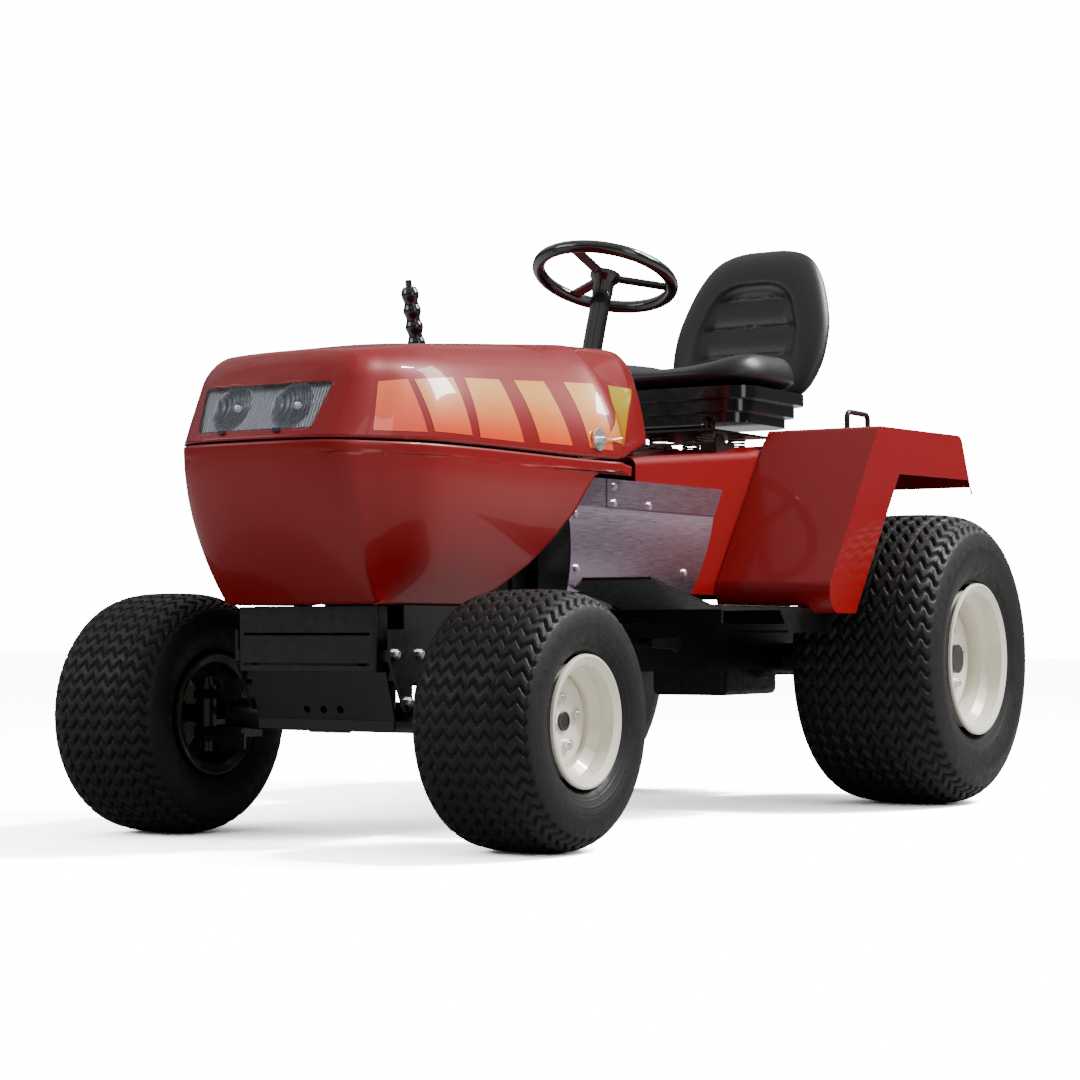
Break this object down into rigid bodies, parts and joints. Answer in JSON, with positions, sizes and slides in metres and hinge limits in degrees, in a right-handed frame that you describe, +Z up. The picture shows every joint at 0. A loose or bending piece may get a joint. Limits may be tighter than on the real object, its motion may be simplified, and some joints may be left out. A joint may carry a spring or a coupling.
{
  "type": "riding lawn mower",
  "caption": "Garden-tractor style riding mower chassis: rounded hinged hood, sprung seat, steering linkage, hand lift lever, wide fenders and balloon turf tyres.",
  "frame": {"origin": "on the ground, on the centre line, midway along the overall length", "axes": "+Y to the rear, +X to the driver's left, +Z up; the hood points along -Y"},
  "size_m": [1.2964, 2.1074, 1.3257],
  "materials": {
    "body_red": "deep metallic red under a clear coat",
    "frame_paint": "satin black",
    "grille_paint": "semi-gloss black",
    "rim_cream": "gloss ivory",
    "bolt_chrome": "polished",
    "hub_steel": "dark satin",
    "panel_steel": "dark brushed, bowed",
    "engine_cast": "matt black",
    "pulley_steel": "turned",
    "belt_rubber": "matt",
    "tank_plastic": "moulded, black",
    "battery_plastic": "moulded, dark grey",
    "column_plastic": "gloss black",
    "wheel_plastic": "gloss black",
    "lens_clear": "clear, fluted behind",
    "reflector": "silvered",
    "spring_steel": "wound wire",
    "pan_plastic": "gloss black",
    "seat_vinyl": "soft black vinyl",
    "grip_rubber": "matt",
    "tyre": "matt, turf tread"
  },
  "bodies": {
    "chassis": {"frame": "frame_paint", "axle_support": "frame_paint", "grille_panel": "grille_paint", "chassis_fasteners": "bolt_chrome", "lower_cowl": "body_red", "dash_tower": "body_red", "pedestal": "body_red", "side_panels": "panel_steel", "grab_handles": "frame_paint", "foot_rests": "frame_paint", "engine": "engine_cast", "muffler": "engine_cast", "fuel_tank": "tank_plastic", "battery": "battery_plastic", "transaxle_case": "engine_cast", "steering_gearbox": "engine_cast", "column_tube": "column_plastic", "seat_base": "frame_paint", "seat_springs": "spring_steel", "fender_left": "body_red", "fender_right": "body_red", "drive_belt": "belt_rubber"},
    "engine_pulley": {"engine_pulley": "pulley_steel"},
    "drive_pulley": {"drive_pulley": "pulley_steel"},
    "front_axle": {"axle_beam": "frame_paint"},
    "steer_left": {"spindle_left": "frame_paint"},
    "steer_right": {"spindle_right": "frame_paint"},
    "front_wheel_left": {"front_tyre_left": "tyre", "front_rim_left": "rim_cream", "front_hub_left": "hub_steel"},
    "front_wheel_right": {"front_tyre_right": "tyre", "front_rim_right": "rim_cream", "front_hub_right": "hub_steel"},
    "tie_rod": {"tie_rod": "frame_paint"},
    "bellcrank": {"bellcrank": "frame_paint"},
    "drag_link": {"drag_link": "frame_paint"},
    "pitman_arm": {"pitman_arm": "frame_paint"},
    "steering": {"steering_wheel": "wheel_plastic", "steering_shaft": "pulley_steel"},
    "rear_wheel_left": {"rear_tyre_left": "tyre", "rear_rim_left": "rim_cream", "rear_axle_left": "hub_steel"},
    "rear_wheel_right": {"rear_tyre_right": "tyre", "rear_rim_right": "rim_cream", "rear_axle_right": "hub_steel"},
    "hood": {"hood": "body_red", "headlight_lens": "lens_clear", "headlight_reflectors": "reflector", "hood_pins": "bolt_chrome"},
    "seat_carrier": {"seat_frame": "frame_paint"},
    "seat": {"seat_pan": "pan_plastic", "seat_cushion": "seat_vinyl", "seat_back": "seat_vinyl"},
    "lift_lever": {"lift_lever": "frame_paint", "lift_grip": "grip_rubber"},
    "lift_button": {"lift_button": "wheel_plastic"},
    "brake_pedal": {"brake_pedal": "frame_paint"},
    "drive_pedal": {"drive_pedal": "grip_rubber"},
    "ignition_key": {"ignition_key": "bolt_chrome"},
    "fuel_cap": {"fuel_cap": "tank_plastic"}
  },
  "joints": [
    {"name": "axle_pivot", "type": "hinge", "parent": "chassis", "child": "front_axle", "pos_m": [0, -0.7653, 0.2285], "axis": [0, 1, 0], "range_deg": [-5, 5]},
    {"name": "steer_left_pivot", "type": "hinge", "parent": "front_axle", "child": "steer_left", "pos_m": [0.322, -0.7653, 0.2285], "axis": [0, 0, 1], "range_deg": [-26, 26]},
    {"name": "steer_right_pivot", "type": "hinge", "parent": "front_axle", "child": "steer_right", "pos_m": [-0.322, -0.7653, 0.2285], "axis": [0, 0, 1], "range_deg": [-26, 26]},
    {"name": "front_wheel_left_spin", "type": "hinge", "parent": "steer_left", "child": "front_wheel_left", "pos_m": [0.407, -0.7653, 0.2285], "axis": [1, 0, 0], "continuous": true},
    {"name": "front_wheel_right_spin", "type": "hinge", "parent": "steer_right", "child": "front_wheel_right", "pos_m": [-0.407, -0.7653, 0.2285], "axis": [1, 0, 0], "continuous": true},
    {"name": "tie_rod_pivot", "type": "hinge", "parent": "steer_left", "child": "tie_rod", "pos_m": [0.322, -0.6953, 0.2285], "axis": [0, 0, 1], "range_deg": [-26, 26]},
    {"name": "bellcrank_pivot", "type": "hinge", "parent": "chassis", "child": "bellcrank", "pos_m": [0, -0.7053, 0.33], "axis": [0, 0, 1], "range_deg": [-26, 26]},
    {"name": "drag_link_pivot", "type": "hinge", "parent": "bellcrank", "child": "drag_link", "pos_m": [0.07, -0.7053, 0.322], "axis": [0, 0, 1], "range_deg": [-26, 26]},
    {"name": "pitman_pivot", "type": "hinge", "parent": "chassis", "child": "pitman_arm", "pos_m": [0, -0.1283, 0.32], "axis": [0, 0, 1], "range_deg": [-26, 26]},
    {"name": "steering_turn", "type": "hinge", "parent": "chassis", "child": "steering", "pos_m": [0, 0.1831, 1.1525], "axis": [0, 0.3267, 0.9451], "range_deg": [-208, 208]},
    {"name": "rear_wheel_left_spin", "type": "hinge", "parent": "chassis", "child": "rear_wheel_left", "pos_m": [0.478, 0.7297, 0.323], "axis": [1, 0, 0], "continuous": true},
    {"name": "rear_wheel_right_spin", "type": "hinge", "parent": "chassis", "child": "rear_wheel_right", "pos_m": [-0.478, 0.7297, 0.323], "axis": [1, 0, 0], "continuous": true},
    {"name": "drive_pulley_spin", "type": "hinge", "parent": "chassis", "child": "drive_pulley", "pos_m": [0, 0.6197, 0.395], "axis": [0, 0, 1], "continuous": true},
    {"name": "engine_pulley_spin", "type": "hinge", "parent": "chassis", "child": "engine_pulley", "pos_m": [0, -0.5303, 0.395], "axis": [0, 0, 1], "continuous": true},
    {"name": "hood_hinge", "type": "hinge", "parent": "chassis", "child": "hood", "pos_m": [0, -1.0497, 0.714], "axis": [1, 0, 0], "range_deg": [0, 60]},
    {"name": "seat_suspension", "type": "slide", "parent": "chassis", "child": "seat_carrier", "axis": [0, 0, 1], "range_m": [-0.02, 0], "stiffness_N_per_m": 12000, "springref_m": 0.02, "deforming": ["seat_springs"]},
    {"name": "seat_tilt", "type": "hinge", "parent": "seat_carrier", "child": "seat", "pos_m": [0, 0.4547, 0.845], "axis": [1, 0, 0], "range_deg": [0, 55]},
    {"name": "lift_pivot", "type": "hinge", "parent": "chassis", "child": "lift_lever", "pos_m": [-0.3, 0.0527, 0.36], "axis": [1, 0, 0], "range_deg": [-25, 10]},
    {"name": "lift_button_press", "type": "slide", "parent": "lift_lever", "child": "lift_button", "axis": [0, 0.2351, -0.972], "range_m": [0, 0.012], "stiffness_N_per_m": 900, "springref_m": -0.004},
    {"name": "brake_pivot", "type": "hinge", "parent": "chassis", "child": "brake_pedal", "pos_m": [-0.372, -0.3353, 0.415], "axis": [1, 0, 0], "range_deg": [0, 15], "stiffness_Nm_per_rad": 30, "springref_deg": -17.19},
    {"name": "drive_pedal_rock", "type": "hinge", "parent": "chassis", "child": "drive_pedal", "pos_m": [-0.396, -0.0233, 0.452], "axis": [1, 0, 0], "range_deg": [-8, 8], "stiffness_Nm_per_rad": 25},
    {"name": "key_turn", "type": "hinge", "parent": "chassis", "child": "ignition_key", "pos_m": [-0.055, 0.1597, 0.85], "axis": [0, 1, 0], "range_deg": [0, 90]},
    {"name": "fuel_cap_turn", "type": "hinge", "parent": "chassis", "child": "fuel_cap", "pos_m": [0, -0.2353, 0.88], "axis": [0, 0, 1], "range_deg": [0, 360]}
  ],
  "couplings": [
    {"joint": "steer_right_pivot", "follows": "steer_left_pivot", "ratio": 1},
    {"joint": "tie_rod_pivot", "follows": "steer_left_pivot", "ratio": -1},
    {"joint": "bellcrank_pivot", "follows": "steer_left_pivot", "ratio": 1},
    {"joint": "drag_link_pivot", "follows": "steer_left_pivot", "ratio": -1},
    {"joint": "pitman_pivot", "follows": "steer_left_pivot", "ratio": 1},
    {"joint": "steering_turn", "follows": "steer_left_pivot", "ratio": 8},
    {"joint": "engine_pulley_spin", "follows": "drive_pulley_spin", "ratio": 1.313}
  ]
}
